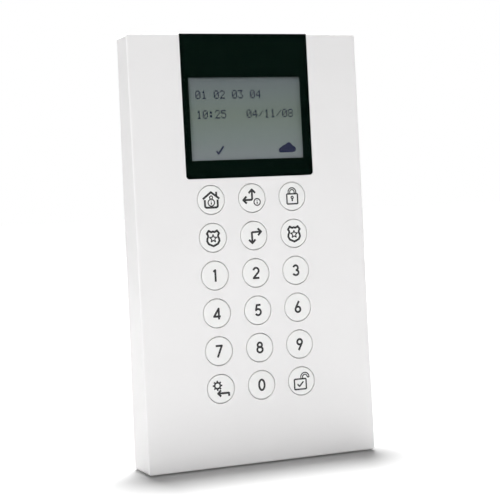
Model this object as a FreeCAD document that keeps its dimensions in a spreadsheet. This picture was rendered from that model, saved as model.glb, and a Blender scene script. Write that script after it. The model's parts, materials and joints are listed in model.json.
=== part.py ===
import FreeCAD, Part

import math
import os
import re

import Sketcher
from FreeCAD import Vector

# A slim wall-mounted alarm keypad, in millimetres. +Z is up, the front faces -Y, and the origin is the
# middle of the wall bracket's back face, so the wall is the plane y = 0.
# Two sets of local axes are used. On the face, x is right, y is up the face and z stands out of it, with
# z = 0 at the front surface; the face leans back from the wall's plane by face_tilt. On the wall, x is
# right, y is up and z is the distance from the wall.

SIZES = {
    # Casing.
    "case_width": 87.5,
    "case_height": 153.0,
    "face_tilt": 2.17,
    "skirt_standoff": 2.2,
    "side_wall": 2.0,
    "front_wall": 2.5,
    "corner_round": 1.2,
    "edge_round": 0.6,
    # Display lens, in a recess that runs out at the top edge.
    "lens_width": 48.6,
    "lens_height": 51.0,
    "lens_thickness": 1.5,
    "lens_round": 1.3,
    "lens_edge_round": 0.25,
    "lens_gap": 0.1,
    "tape_thickness": 0.2,
    "tape_inset": 0.8,
    # Liquid crystal display, its frame and its backlight.
    "view_width": 42.7,
    "view_height": 29.2,
    "view_drop": 30.0,
    "view_margin": 0.6,
    "glass_width": 50.0,
    "glass_height": 36.0,
    "glass_plate": 1.1,
    "glass_ledge": 2.5,
    "gasket_thickness": 0.2,
    "gasket_width": 1.6,
    "frame_gap": 0.25,
    "frame_wall": 1.5,
    "frame_relief": 0.4,
    "backlight_width": 46.0,
    "backlight_height": 34.0,
    "backlight_thickness": 2.5,
    "backlight_shift": 1.5,
    "side_led_length": 3.0,
    "side_led_width": 1.4,
    "side_led_height": 1.6,
    "side_led_pitch": 10.0,
    "flex_width": 20.0,
    "flex_thickness": 0.15,
    "flex_slot_gap": 1.0,
    "connector_width": 24.0,
    "connector_height": 3.5,
    "connector_thickness": 1.6,
    "connector_drop": 0.5,
    # Keys: a cap flush with the face, held in by a flange behind it.
    "key_radius": 5.0,
    "key_gap": 0.25,
    "key_pitch_x": 15.58,
    "key_pitch_y": 13.35,
    "key_drop": 7.5,
    "key_travel": 0.7,
    "key_flange": 0.9,
    "key_flange_thickness": 1.2,
    "key_flange_gap": 0.2,
    "key_roof": 1.4,
    "key_wall": 1.0,
    "key_round": 0.3,
    "key_hole_chamfer": 0.15,
    # Silicone mat with a dome under each key, and a carbon pill under each dome.
    "pad_gap": 0.3,
    "pad_top_gap": 0.1,
    "mat_sheet": 1.0,
    "mat_margin": 8.0,
    "web_rise": 1.5,
    "web_foot": 5.4,
    "web_thickness": 0.5,
    "web_shoulder": 0.5,
    "pill_radius": 1.8,
    "pill_thickness": 1.0,
    "pill_stop_gap": 0.1,
    "key_led_length": 1.6,
    "key_led_width": 0.8,
    "key_led_height": 0.7,
    "key_led_gap": 0.4,
    # Main board and what it carries.
    "board_thickness": 1.6,
    "board_side_gap": 2.25,
    "board_top_gap": 3.0,
    "board_bottom_gap": 5.0,
    "board_rim_gap": 0.4,
    "board_round": 1.5,
    "board_screw_inset": 5.0,
    "board_screw_pitch": 90.0,
    "board_screw_radius": 1.0,
    "board_screw_bite": 3.6,
    "board_boss_radius": 2.6,
    "board_head_radius": 2.2,
    "board_head_height": 1.4,
    "processor_side": 12.0,
    "processor_height": 1.4,
    "processor_x": -10.0,
    "processor_y": 18.0,
    "driver_length": 8.0,
    "driver_width": 5.0,
    "driver_height": 1.6,
    "driver_x": 8.0,
    "driver_y": -4.0,
    "driver_pitch": 12.0,
    "capacitor_radius": 3.15,
    "capacitor_height": 4.6,
    "capacitor_x": 18.0,
    "capacitor_y": -22.0,
    "capacitor_pitch": 8.0,
    "passive_length": 1.6,
    "passive_width": 0.8,
    "passive_height": 0.6,
    "passive_x": 6.0,
    "passive_y": 12.0,
    "passive_pitch": 3.2,
    "buzzer_radius": 6.0,
    "buzzer_height": 4.4,
    "buzzer_port_radius": 1.0,
    "buzzer_x": -24.0,
    "buzzer_y": -16.0,
    # Terminal block, standing out of the board's back through the cable port.
    "terminal_pitch": 5.0,
    "terminal_end_wall": 0.25,
    "terminal_depth": 8.0,
    "terminal_height": 8.0,
    "terminal_y": -40.0,
    "terminal_well_radius": 1.9,
    "terminal_well_depth": 3.0,
    "terminal_entry": 3.4,
    "terminal_entry_depth": 5.5,
    "terminal_entry_rise": 2.8,
    "clamp_wall_gap": 0.1,
    "clamp_length": 4.0,
    "clamp_bore": 2.2,
    "terminal_screw_radius": 1.7,
    "terminal_screw_height": 1.6,
    # Screws in general.
    "screw_gap": 0.03,
    "screw_clearance": 0.2,
    "drive_length": 2.6,
    "drive_width": 0.6,
    "drive_depth": 0.7,
    # Rear housing: a shallow tub whose rim closes the back of the cover.
    "rim_thickness": 1.2,
    "rim_gap": 0.3,
    "rim_round": 0.5,
    "tub_step": 2.3,
    "tub_wall": 1.6,
    "tub_round": 4.0,
    "floor_thickness": 1.6,
    "floor_gap": 0.2,
    "housing_screw_inset": 8.75,
    "housing_screw_drop": 14.5,
    "housing_screw_radius": 1.25,
    "housing_screw_bite": 6.0,
    "housing_boss_radius": 3.2,
    "housing_boss_gap": 0.8,
    "housing_head_radius": 2.4,
    "housing_head_height": 1.5,
    "cup_wall": 1.7,
    "cup_height": 3.6,
    "cup_floor": 1.6,
    "port_width": 30.0,
    "port_height": 22.0,
    "port_y": -45.0,
    # Wall bracket: a shallow tray with hooks that hold the housing.
    "bracket_inset": 1.5,
    "bracket_end_inset": 2.2,
    "bracket_depth": 5.6,
    "bracket_plate": 2.0,
    "bracket_rim": 1.6,
    "bracket_round": 3.0,
    "wall_hole_radius": 2.25,
    "wall_hole_pitch_x": 56.0,
    "wall_hole_pitch_y": 108.0,
    "box_slot_radius": 2.0,
    "box_slot_length": 8.0,
    "box_slot_pitch": 60.0,
    "box_slot_y": 12.0,
    "cable_width": 26.0,
    "cable_height": 16.0,
    "cable_y": -47.0,
    "cable_round": 2.0,
    "hook_width": 8.0,
    "hook_thickness": 1.6,
    "hook_lip": 1.8,
    "hook_lip_thickness": 1.0,
    "hook_gap": 0.15,
    "hook_pitch": 40.0,
    "hook_drop": 8.0,
    "lock_width": 10.0,
    "lock_length": 7.0,
    "lock_gap": 0.3,
    "lock_standoff": 0.2,
    "lock_screw_radius": 1.25,
    "lock_pilot_gap": 0.15,
    "lock_head_height": 1.5,
    # Rear tamper: a sprung plunger that the wall holds pressed against a small switch.
    "tamper_x": 22.0,
    "tamper_y": -60.0,
    "plunger_radius": 2.0,
    "plunger_gap": 0.3,
    "plunger_hole_gap": 1.0,
    "plunger_travel": 1.2,
    "plunger_wall_gap": 0.05,
    "collar_radius": 5.9,
    "collar_thickness": 1.0,
    "collar_gap": 0.1,
    "nub_radius": 1.5,
    "nub_gap": 0.2,
    "spring_radius": 5.2,
    "spring_wire": 0.25,
    "spring_pitch": 1.4,
    "spring_gap": 0.05,
    "spring_board_gap": 0.3,
    "switch_side": 6.0,
    "switch_height": 3.4,
    "switch_button_radius": 1.6,
    "switch_button_height": 0.5,
    # How far a cut runs past the surface it opens, and a boss into the wall behind it.
    "overshoot": 0.4,
}

EDGE_MATCH = 0.001  # How near an edge lies to the plane by which it is picked.

# Lengths that follow from the sizes, as formulas in their names and each other's.
FORMULAS = {
    "wall_gap": "bracket_depth + skirt_standoff",
    "cavity_width": "case_width - 2*side_wall",
    "cavity_height": "case_height - 2*side_wall",
    "recess": "lens_thickness + tape_thickness",
    "lens_y": "case_height/2 - lens_height/2",
    "view_y": "case_height/2 - view_drop",
    "glass_front": "front_wall + gasket_thickness",
    "glass_rear": "glass_front + 2*glass_plate",
    "board_depth": "glass_rear + backlight_thickness",
    "board_rear": "board_depth + board_thickness",
    "board_top": "cavity_height/2 - board_top_gap",
    "board_top_lean": "board_top*sin(face_tilt) + board_rear*cos(face_tilt)",
    "depth_centre": "wall_gap + rim_thickness + board_rim_gap + board_top_lean",
    "skirt_bottom": "(depth_centre + case_height/2*sin(face_tilt) - wall_gap)/cos(face_tilt)",
    "skirt_top": "(depth_centre - case_height/2*sin(face_tilt) - wall_gap)/cos(face_tilt)",
    "frame_width": "glass_width + 2*frame_gap + 2*frame_wall",
    "frame_height": "glass_height + 2*frame_gap + 2*frame_wall",
    "top_row_y": "case_height/2 - lens_height - key_drop",
    "bottom_row_y": "top_row_y - 5*key_pitch_y",
    "key_rear": "front_wall + key_flange_gap + key_flange_thickness",
    "pad_top": "key_roof + pad_top_gap",
    "pad_radius": "key_radius - key_wall - pad_gap",
    "sheet_front": "board_depth - mat_sheet",
    "pill_rear": "board_depth - key_travel - pill_stop_gap",
    "pill_front": "pill_rear - pill_thickness",
    "board_width": "cavity_width - 2*board_side_gap",
    "board_height": "cavity_height - board_top_gap - board_bottom_gap",
    "board_y": "board_bottom_gap/2 - board_top_gap/2",
    "board_screw_x": "board_width/2 - board_screw_inset",
    "connector_y": "board_top - connector_drop - connector_height/2",
    "rim_front": "wall_gap + rim_thickness",
    "rim_width": "cavity_width - 2*rim_gap",
    "rim_height": "cavity_height - 2*rim_gap",
    "rim_y": "-(depth_centre - wall_gap - rim_thickness/2)*tan(face_tilt)",
    "tub_width": "rim_width - 2*tub_step",
    "tub_height": "rim_height - 2*tub_step",
    "floor_rear": "bracket_depth + floor_gap",
    "floor_front": "floor_rear + floor_thickness",
    "cup_front": "floor_rear + cup_height",
    "cup_seat": "cup_front - cup_floor",
    "cup_radius": "housing_head_radius + screw_clearance + cup_wall",
    "housing_screw_x": "cavity_width/2 - housing_screw_inset",
    "housing_screw_y": "cavity_height/2 - housing_screw_drop",
    "bracket_width": "tub_width - 2*bracket_inset",
    "bracket_height": "tub_height - 2*bracket_end_inset",
    "hook_y": "bracket_height/2 - hook_drop",
    "lock_face_y": "-(bracket_height/2 - bracket_rim - lock_gap)",
    "lock_depth": "(bracket_plate + bracket_depth)/2",
    "lock_head_radius": "lock_depth - bracket_plate",
    "collar_rear": "floor_front + plunger_travel + collar_gap",
    "collar_front": "collar_rear + collar_thickness",
    "tamper_face_y": "tamper_y/cos(face_tilt) + board_rear*tan(face_tilt)",
    "tamper_board_rear": "depth_centre - tamper_y*tan(face_tilt) - board_rear/cos(face_tilt)",
    "spring_front": "tamper_board_rear - spring_board_gap",
    "nub_front": "tamper_board_rear - switch_height - switch_button_height - nub_gap",
    "terminal_width": "4*terminal_pitch + 2*terminal_end_wall",
    "terminal_rear": "board_rear + terminal_height",
}

KEY_ROWS = [
    ["key_stay", "key_browse_info", "key_arm"],
    ["key_shield_left", "key_browse", "key_shield_right"],
    ["key_1", "key_2", "key_3"],
    ["key_4", "key_5", "key_6"],
    ["key_7", "key_8", "key_9"],
    ["key_menu_back", "key_0", "key_disarm"],
]

document = FreeCAD.newDocument("alarm_keypad")
sheet = document.addObject("Spreadsheet::Sheet", "sizes")
for row, (alias, size) in enumerate(SIZES.items(), 1):
    sheet.set(f"A{row}", str(size))
    sheet.setAlias(f"A{row}", alias)
document.recompute()


def bound(formula):
    """Turns a formula in the names above into an expression that reads the sheet."""
    def expand(word):
        if word[0] in FORMULAS:
            return f"({bound(FORMULAS[word[0]])})"
        return f"sizes.{word[0]}" if word[0] in SIZES else word[0]
    return re.sub("[a-z_]+", expand, formula)


def value(formula):
    return float(sheet.evalExpression(bound(formula)))


def origin_part(body, role):
    return next(item for item in body.Origin.OriginFeatures if item.Role == role)


def new_body(label, x, y, z, angle):
    body = document.addObject("PartDesign::Body", label)
    body.Label = label
    body.AllowCompound = True
    body.Placement.Rotation = FreeCAD.Rotation(Vector(1, 0, 0), 1)
    body.setExpression("Placement.Rotation.Angle", bound(angle))
    body.setExpression("Placement.Base.x", bound(x))
    body.setExpression("Placement.Base.y", bound(y))
    body.setExpression("Placement.Base.z", bound(z))
    return body


def face_body(label, x="0", y="0"):
    """A body in the face's axes, its own origin at x, y on the front surface."""
    return new_body(label, x, f"{y}*sin(face_tilt) - depth_centre", f"{y}*cos(face_tilt)", "90 - face_tilt")


def wall_body(label):
    """A body in the wall's axes."""
    return new_body(label, "0", "0", "0", "90")


def new_sketch(body, name, place, plane="XY_Plane"):
    sketch = body.newObject("Sketcher::SketchObject", name)
    sketch.AttachmentSupport = [(origin_part(body, plane), "")]
    sketch.MapMode = "FlatFace"
    for axis, distance in zip("xyz", place):
        sketch.setExpression(f"AttachmentOffset.Base.{axis}", bound(distance))
    return sketch


def constrain(sketch, name, formula, kind, *elements):
    index = sketch.addConstraint(Sketcher.Constraint(kind, *elements, value(formula)))
    sketch.renameConstraint(index, name)
    sketch.setExpression(f"Constraints.{name}", bound(formula))


def rectangle(body, name, width, height, place, round_radius=None, plane="XY_Plane"):
    """A rectangle centred on place, with rounded corners if a radius is given."""
    sketch = new_sketch(body, name, place, plane)
    half_x = value(width) / 2
    half_y = value(height) / 2
    r = value(round_radius) if round_radius else 0.0
    ends = [
        (Vector(r - half_x, -half_y), Vector(half_x - r, -half_y)),
        (Vector(half_x, r - half_y), Vector(half_x, half_y - r)),
        (Vector(half_x - r, half_y), Vector(r - half_x, half_y)),
        (Vector(-half_x, half_y - r), Vector(-half_x, r - half_y)),
    ]
    for start, end in ends:
        sketch.addGeometry(Part.LineSegment(start, end), False)
    for side in range(4):
        following = (side + 1) % 4
        if not round_radius:
            sketch.addConstraint(Sketcher.Constraint("Coincident", side, 2, following, 1))
            continue
        quarter = math.pi/2
        centre = Vector((1, 1, -1, -1)[side] * (half_x - r), (-1, 1, 1, -1)[side] * (half_y - r))
        circle_part = Part.Circle(centre, Vector(0, 0, 1), r)
        arc = sketch.addGeometry(Part.ArcOfCircle(circle_part, (side - 1) * quarter, side * quarter), False)
        sketch.addConstraint(Sketcher.Constraint("Tangent", side, 2, arc, 1))
        sketch.addConstraint(Sketcher.Constraint("Tangent", arc, 2, following, 1))
        if side:
            sketch.addConstraint(Sketcher.Constraint("Equal", 4, arc))
        else:
            constrain(sketch, "corner_radius", round_radius, "Radius", arc)
    sketch.addConstraint(Sketcher.Constraint("Symmetric", 0, 1, 0, 2, -2))
    sketch.addConstraint(Sketcher.Constraint("Symmetric", 1, 1, 1, 2, -1))
    sketch.addConstraint(Sketcher.Constraint("Horizontal", 2))
    sketch.addConstraint(Sketcher.Constraint("Vertical", 3))
    constrain(sketch, "across", width, "DistanceX", 3, 1, 1, 1)
    constrain(sketch, "up", height, "DistanceY", 0, 1, 2, 1)
    return sketch


def circle(body, name, radius, place, plane="XY_Plane", off_axis=None):
    """A circle at place, or off_axis to the right of it."""
    sketch = new_sketch(body, name, place, plane)
    centre = Vector(value(off_axis) if off_axis else 0, 0, 0)
    sketch.addGeometry(Part.Circle(centre, Vector(0, 0, 1), value(radius)), False)
    if off_axis:
        sketch.addConstraint(Sketcher.Constraint("PointOnObject", 0, 3, -1))
        constrain(sketch, "off_axis", off_axis, "DistanceX", -1, 1, 0, 3)
    else:
        sketch.addConstraint(Sketcher.Constraint("Coincident", 0, 3, -1, 1))
    constrain(sketch, "radius", radius, "Radius", 0)
    return sketch


def outline(body, name, points, plane, place=("0", "0", "0")):
    """A closed outline through the points, each a pair of formulas."""
    sketch = new_sketch(body, name, place, plane)
    corners = [Vector(value(across), value(up)) for across, up in points]
    count = len(points)
    for corner in range(count):
        line = Part.LineSegment(corners[corner], corners[(corner + 1) % count])
        sketch.addGeometry(line, False)
    for corner, (across, up) in enumerate(points):
        sketch.addConstraint(Sketcher.Constraint("Coincident", corner, 2, (corner + 1) % count, 1))
        if across == "0":
            sketch.addConstraint(Sketcher.Constraint("PointOnObject", corner, 1, -2))
        else:
            constrain(sketch, f"across_{corner}", across, "DistanceX", -1, 1, corner, 1)
        if up == "0":
            sketch.addConstraint(Sketcher.Constraint("PointOnObject", corner, 1, -1))
        else:
            constrain(sketch, f"up_{corner}", up, "DistanceY", -1, 1, corner, 1)
    return sketch


def sweep(body, kind, name, profile, length, midplane=False):
    feature = body.newObject(f"PartDesign::{kind}", name)
    feature.Profile = profile
    feature.Midplane = midplane
    feature.setExpression("Length", bound(length))
    return feature


def pad(body, name, profile, length, midplane=False):
    """Material from the sketch's plane along its normal."""
    return sweep(body, "Pad", name, profile, length, midplane)


def pocket(body, name, profile, length, midplane=False):
    """A cut from the sketch's plane against its normal."""
    return sweep(body, "Pocket", name, profile, length, midplane)


def turn(body, kind, name, profile):
    """A full turn of the profile about its sketch's upright axis."""
    feature = body.newObject(f"PartDesign::{kind}", name)
    feature.Profile = profile
    feature.ReferenceAxis = (profile, ["V_Axis"])
    feature.Angle = 360
    return feature


def grid(body, name, features, count_x, pitch_x, count_y=1, pitch_y="1"):
    """Copies of the features in columns and rows."""
    pattern = body.newObject("PartDesign::LinearPattern", name)
    pattern.Originals = features
    pattern.Direction = (origin_part(body, "X_Axis"), [""])
    pattern.Occurrences = count_x
    pattern.setExpression("Length", bound(f"{count_x - 1}*{pitch_x}") if count_x > 1 else "1")
    pattern.Direction2 = (origin_part(body, "Y_Axis"), [""])
    pattern.Occurrences2 = count_y
    pattern.setExpression("Length2", bound(f"{count_y - 1}*{pitch_y}") if count_y > 1 else "1")
    body.Tip = pattern
    return pattern


def fillet(body, name, base, radius, chosen):
    """Rounds the base's edges for which chosen(edge's box) is true."""
    document.recompute()
    feature = body.newObject("PartDesign::Fillet", name)
    edges = [f"Edge{index}" for index, edge in enumerate(base.Shape.Edges, 1) if chosen(edge.BoundBox)]
    feature.Base = (base, edges)
    feature.setExpression("Radius", bound(radius))
    return feature


def block(body, name, width, height, x, y, low, high, round_radius=None):
    """A pad of a rectangle centred on x, y, from z = low to z = high."""
    profile = rectangle(body, f"{name}_sketch", width, height, (x, y, low), round_radius)
    return pad(body, name, profile, f"({high}) - ({low})")


def hollow(body, name, width, height, x, y, low, high, round_radius=None):
    """A pocket of a rectangle centred on x, y, from z = low to z = high."""
    profile = rectangle(body, f"{name}_sketch", width, height, (x, y, high), round_radius)
    return pocket(body, name, profile, f"({high}) - ({low})")


def post(body, name, radius, x, y, low, high):
    profile = circle(body, f"{name}_sketch", radius, (x, y, low))
    return pad(body, name, profile, f"({high}) - ({low})")


def hole(body, name, radius, x, y, low, high):
    profile = circle(body, f"{name}_sketch", radius, (x, y, high))
    return pocket(body, name, profile, f"({high}) - ({low})")


def cross_drive(body, x, y, low, high):
    """The two crossing slots of a screw's drive."""
    return [
        hollow(body, "drive_across", "drive_length", "drive_width", x, y, low, high),
        hollow(body, "drive_up", "drive_width", "drive_length", x, y, low, high),
    ]


def frame_plate(label, width, height, y, low, high, window_width, window_height):
    """A flat sheet on the face with a rectangular window."""
    body = face_body(label)
    block(body, "sheet", width, height, "0", y, low, high)
    hollow(body, "window", window_width, window_height, "0", "view_y", f"{low} - overshoot", high)
    return body


def front_cover():
    """The moulded shell: a flat face, a skirt that ends parallel to the wall, and screw bosses."""
    body = face_body("front_cover")
    side = outline(body, "side_view", [
        ("-case_height/2", "0"),
        ("-case_height/2", "-skirt_bottom"),
        ("case_height/2", "-skirt_top"),
        ("case_height/2", "0"),
    ], "YZ_Plane")
    shell = pad(body, "shell", side, "case_width", midplane=True)
    corners = fillet(body, "corners", shell, "corner_round",
                     lambda box: max(box.XLength, box.YLength) < EDGE_MATCH)
    fillet(body, "front_edge", corners, "edge_round", lambda box: box.ZMin > -EDGE_MATCH)
    inside = outline(body, "inside_view", [
        ("-cavity_height/2", "-front_wall"),
        ("-cavity_height/2", "-2*depth_centre"),
        ("cavity_height/2", "-2*depth_centre"),
        ("cavity_height/2", "-front_wall"),
    ], "YZ_Plane")
    pocket(body, "inside", inside, "cavity_width", midplane=True)
    runout = "2*lens_round"
    hollow(body, "lens_recess", "lens_width + 2*lens_gap", f"lens_height + lens_gap + {runout}",
           "0", f"lens_y - lens_gap/2 + {runout}/2", "-recess", "0", "lens_round")
    hollow(body, "display_window", "view_width + 2*view_margin", "view_height + 2*view_margin",
           "0", "view_y", "-front_wall - overshoot", "-recess")
    hole_view = outline(body, "key_hole_view", [
        ("0", "0"),
        ("key_radius + key_gap + key_hole_chamfer", "0"),
        ("key_radius + key_gap", "-key_hole_chamfer"),
        ("key_radius + key_gap", "-front_wall - overshoot"),
        ("0", "-front_wall - overshoot"),
    ], "XZ_Plane", ("-key_pitch_x", "0", "-bottom_row_y"))
    key_hole = turn(body, "Groove", "key_hole", hole_view)
    grid(body, "key_holes", [key_hole], 3, "key_pitch_x", 6, "key_pitch_y")
    boss_y = "board_y - board_screw_pitch/2"
    boss = post(body, "board_boss", "board_boss_radius", "-board_screw_x", boss_y,
                "-board_depth", "-front_wall + overshoot")
    pilot = hole(body, "board_pilot", "board_screw_radius + screw_gap", "-board_screw_x", boss_y,
                 "-board_depth - overshoot", "-board_depth + board_screw_bite + 2*screw_gap")
    grid(body, "board_bosses", [boss, pilot], 2, "2*board_screw_x", 2, "board_screw_pitch")
    for end, height in (("top", "housing_screw_y"), ("bottom", "(-housing_screw_y)")):
        low = "(depth_centre - cup_front)"
        place = ("-housing_screw_x", f"{low}*sin(face_tilt) + {height}*cos(face_tilt)",
                 f"{height}*sin(face_tilt) - {low}*cos(face_tilt)")
        boss_view = circle(body, f"{end}_boss_sketch", "housing_boss_radius", place)
        pilot_view = circle(body, f"{end}_pilot_sketch", "housing_screw_radius + screw_gap", place)
        for view in (boss_view, pilot_view):
            view.AttachmentOffset.Rotation = FreeCAD.Rotation(Vector(1, 0, 0), 1)
            view.setExpression("AttachmentOffset.Rotation.Angle", bound("face_tilt"))
        boss = pad(body, f"{end}_boss", boss_view,
                   f"{low} - {height}*tan(face_tilt) - front_wall + overshoot")
        pilot = pocket(body, f"{end}_pilot", pilot_view, "housing_screw_bite + 2*screw_gap")
        pilot.Reversed = True
        grid(body, f"{end}_bosses", [boss, pilot], 2, "2*housing_screw_x")


def display_lens():
    """The acrylic lens, flush with the face and with the cover's top edge."""
    body = face_body("display_lens")
    lens = block(body, "lens", "lens_width", "lens_height - lens_gap", "0", "lens_y - lens_gap/2",
                 "-lens_thickness", "0")
    bottom = -value("lens_height - lens_gap") / 2 + value("lens_y - lens_gap/2")
    corners = fillet(body, "bottom_corners", lens, "lens_round",
                     lambda box: box.ZLength > EDGE_MATCH and box.YMax < bottom + EDGE_MATCH)
    fillet(body, "front_edge", corners, "lens_edge_round", lambda box: box.ZMin > -EDGE_MATCH)


def display_stack():
    """What lies behind the lens: tape, gasket, glass, frame, backlight, side LEDs, flex, connector."""
    frame_plate("lens_tape", "lens_width - 2*tape_inset", "lens_height - 2*tape_inset", "lens_y",
                "-recess", "-lens_thickness", "view_width + 2*view_margin", "view_height + 2*view_margin")
    frame_plate("display_gasket", "view_width + 2*view_margin + 2*gasket_width",
                "view_height + 2*view_margin + 2*gasket_width", "view_y", "-glass_front", "-front_wall",
                "view_width + 2*view_margin", "view_height + 2*view_margin")

    glass = face_body("lcd_glass")
    block(glass, "rear_plate", "glass_width", "glass_height", "0", "view_y",
          "-glass_rear", "-glass_front - glass_plate")
    block(glass, "front_plate", "glass_width", "glass_height - glass_ledge", "0",
          "view_y - glass_ledge/2", "-glass_front - glass_plate", "-glass_front")

    frame = face_body("lcd_frame")
    block(frame, "frame", "frame_width", "frame_height", "0", "view_y",
          "-board_depth", "-front_wall - frame_relief")
    hollow(frame, "well", "glass_width + 2*frame_gap", "glass_height + 2*frame_gap", "0", "view_y",
           "-board_depth - overshoot", "-front_wall - frame_relief")
    hollow(frame, "flex_slot", "flex_width + 2*flex_slot_gap", "2*frame_wall",
           "0", "view_y + frame_height/2", "-sheet_front", "-front_wall - frame_relief")

    backlight = face_body("backlight_panel")
    block(backlight, "panel", "backlight_width", "backlight_height", "backlight_shift", "view_y",
          "-board_depth", "-glass_rear")

    leds = face_body("backlight_leds")
    led_x = "backlight_shift - backlight_width/2 - side_led_width/2 - frame_gap"
    led = block(leds, "led", "side_led_width", "side_led_length", led_x, "view_y - side_led_pitch",
                "-board_depth", "-board_depth + side_led_height")
    grid(leds, "leds", [led], 1, "1", 3, "side_led_pitch")

    connector_face = "(connector_y - connector_height/2)"
    glass_top = "(view_y + glass_height/2)"
    ledge = "(-glass_front - glass_plate)"
    entry = "(-board_depth + connector_thickness/2)"
    flex = face_body("lcd_flex")
    route = outline(flex, "route", [
        (f"{glass_top} - glass_ledge + frame_gap", ledge),
        (f"{glass_top} + frame_gap", ledge),
        (f"{connector_face} - frame_gap", entry),
        (connector_face, entry),
        (connector_face, f"{entry} + flex_thickness"),
        (f"{connector_face} - frame_gap", f"{entry} + flex_thickness"),
        (f"{glass_top} + frame_gap", f"{ledge} + flex_thickness"),
        (f"{glass_top} - glass_ledge + frame_gap", f"{ledge} + flex_thickness"),
    ], "YZ_Plane")
    pad(flex, "ribbon", route, "flex_width", midplane=True)

    connector = face_body("flex_connector")
    block(connector, "shell", "connector_width", "connector_height", "0", "connector_y",
          "-board_depth", "-board_depth + connector_thickness")


def keys():
    """Eighteen caps, each hollow behind and held by its flange."""
    for row, names in enumerate(KEY_ROWS):
        for column, name in enumerate(names):
            body = face_body(name, f"{column - 1}*key_pitch_x", f"(top_row_y - {row}*key_pitch_y)")
            post(body, "flange", "key_radius + key_flange", "0", "0",
                 "-key_rear", "-front_wall - key_flange_gap")
            cap = post(body, "cap", "key_radius", "0", "0", "-key_rear", "0")
            fillet(body, "rim", cap, "key_round", lambda box: box.ZMin > -EDGE_MATCH)
            hole(body, "underside", "key_radius - key_wall", "0", "0", "-key_rear - overshoot", "-key_roof")


def keypad_mat():
    """One silicone sheet on the board, with a hollow dome under each key and windows for the LEDs."""
    body = face_body("keypad_mat")
    middle_y = "(top_row_y + bottom_row_y)/2"
    block(body, "sheet", "2*key_pitch_x + 2*mat_margin", "5*key_pitch_y + 2*mat_margin", "0", middle_y,
          "-board_depth", "-sheet_front", "corner_round")
    first = ("-key_pitch_x", "0", "-bottom_row_y")
    dome_view = outline(body, "dome_view", [
        ("0", "-pad_top"),
        ("pad_radius", "-pad_top"),
        ("pad_radius", "-sheet_front + web_rise"),
        ("web_foot", "-sheet_front"),
        ("web_foot", "-sheet_front - mat_sheet/2"),
        ("0", "-sheet_front - mat_sheet/2"),
    ], "XZ_Plane", first)
    dome = turn(body, "Revolution", "dome", dome_view)
    hollow_view = outline(body, "hollow_view", [
        ("0", "-pill_front"),
        ("pad_radius - web_shoulder", "-pill_front"),
        ("web_foot - web_thickness", "-sheet_front - web_thickness"),
        ("web_foot - web_thickness", "-board_depth - overshoot"),
        ("0", "-board_depth - overshoot"),
    ], "XZ_Plane", first)
    dome_hollow = turn(body, "Groove", "dome_hollow", hollow_view)
    grid(body, "domes", [dome, dome_hollow], 3, "key_pitch_x", 6, "key_pitch_y")
    window = hollow(body, "led_window", "key_led_length + 2*key_led_gap", "key_led_width + 2*key_led_gap",
                    "-key_pitch_x/2", "bottom_row_y + key_pitch_y/2",
                    "-board_depth - overshoot", "-sheet_front")
    grid(body, "led_windows", [window], 2, "key_pitch_x", 5, "key_pitch_y")

    pills = face_body("contact_pills")
    pill = post(pills, "pill", "pill_radius", "-key_pitch_x", "bottom_row_y", "-pill_rear", "-pill_front")
    grid(pills, "pills", [pill], 3, "key_pitch_x", 6, "key_pitch_y")

    leds = face_body("key_leds")
    led = block(leds, "led", "key_led_length", "key_led_width", "-key_pitch_x/2",
                "bottom_row_y + key_pitch_y/2", "-board_depth", "-board_depth + key_led_height")
    grid(leds, "leds", [led], 2, "key_pitch_x", 5, "key_pitch_y")


def main_board():
    """The board, drilled for its own screws and for the cover's long bosses."""
    body = face_body("main_board")
    block(body, "board", "board_width", "board_height", "0", "board_y",
          "-board_rear", "-board_depth", "board_round")
    screw = hole(body, "screw_hole", "board_screw_radius + screw_clearance", "-board_screw_x",
                 "board_y - board_screw_pitch/2", "-board_rear - overshoot", "-board_depth")
    grid(body, "screw_holes", [screw], 2, "2*board_screw_x", 2, "board_screw_pitch")
    lower_y = "(-housing_screw_y/cos(face_tilt) + (board_depth + board_thickness/2)*tan(face_tilt))"
    clearance = hole(body, "boss_hole", "housing_boss_radius + housing_boss_gap", "-housing_screw_x",
                     lower_y, "-board_rear - overshoot", "-board_depth")
    grid(body, "boss_holes", [clearance], 2, "2*housing_screw_x", 2, "2*housing_screw_y/cos(face_tilt)")

    screws = face_body("board_screws")
    place = ("-board_screw_x", "board_y - board_screw_pitch/2")
    shank = post(screws, "shank", "board_screw_radius", *place,
                 "-board_rear", "-board_depth + board_screw_bite")
    head = post(screws, "head", "board_head_radius", *place,
                "-board_rear - board_head_height", "-board_rear")
    drive = cross_drive(screws, *place, "-board_rear - board_head_height - overshoot",
                        "-board_rear - board_head_height + drive_depth")
    grid(screws, "screws", [shank, head, *drive], 2, "2*board_screw_x", 2, "board_screw_pitch")


def on_board(height):
    """From a piece's back end to the board's back face, for a piece that stands on that face."""
    return f"-board_rear - {height}", "-board_rear"


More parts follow.
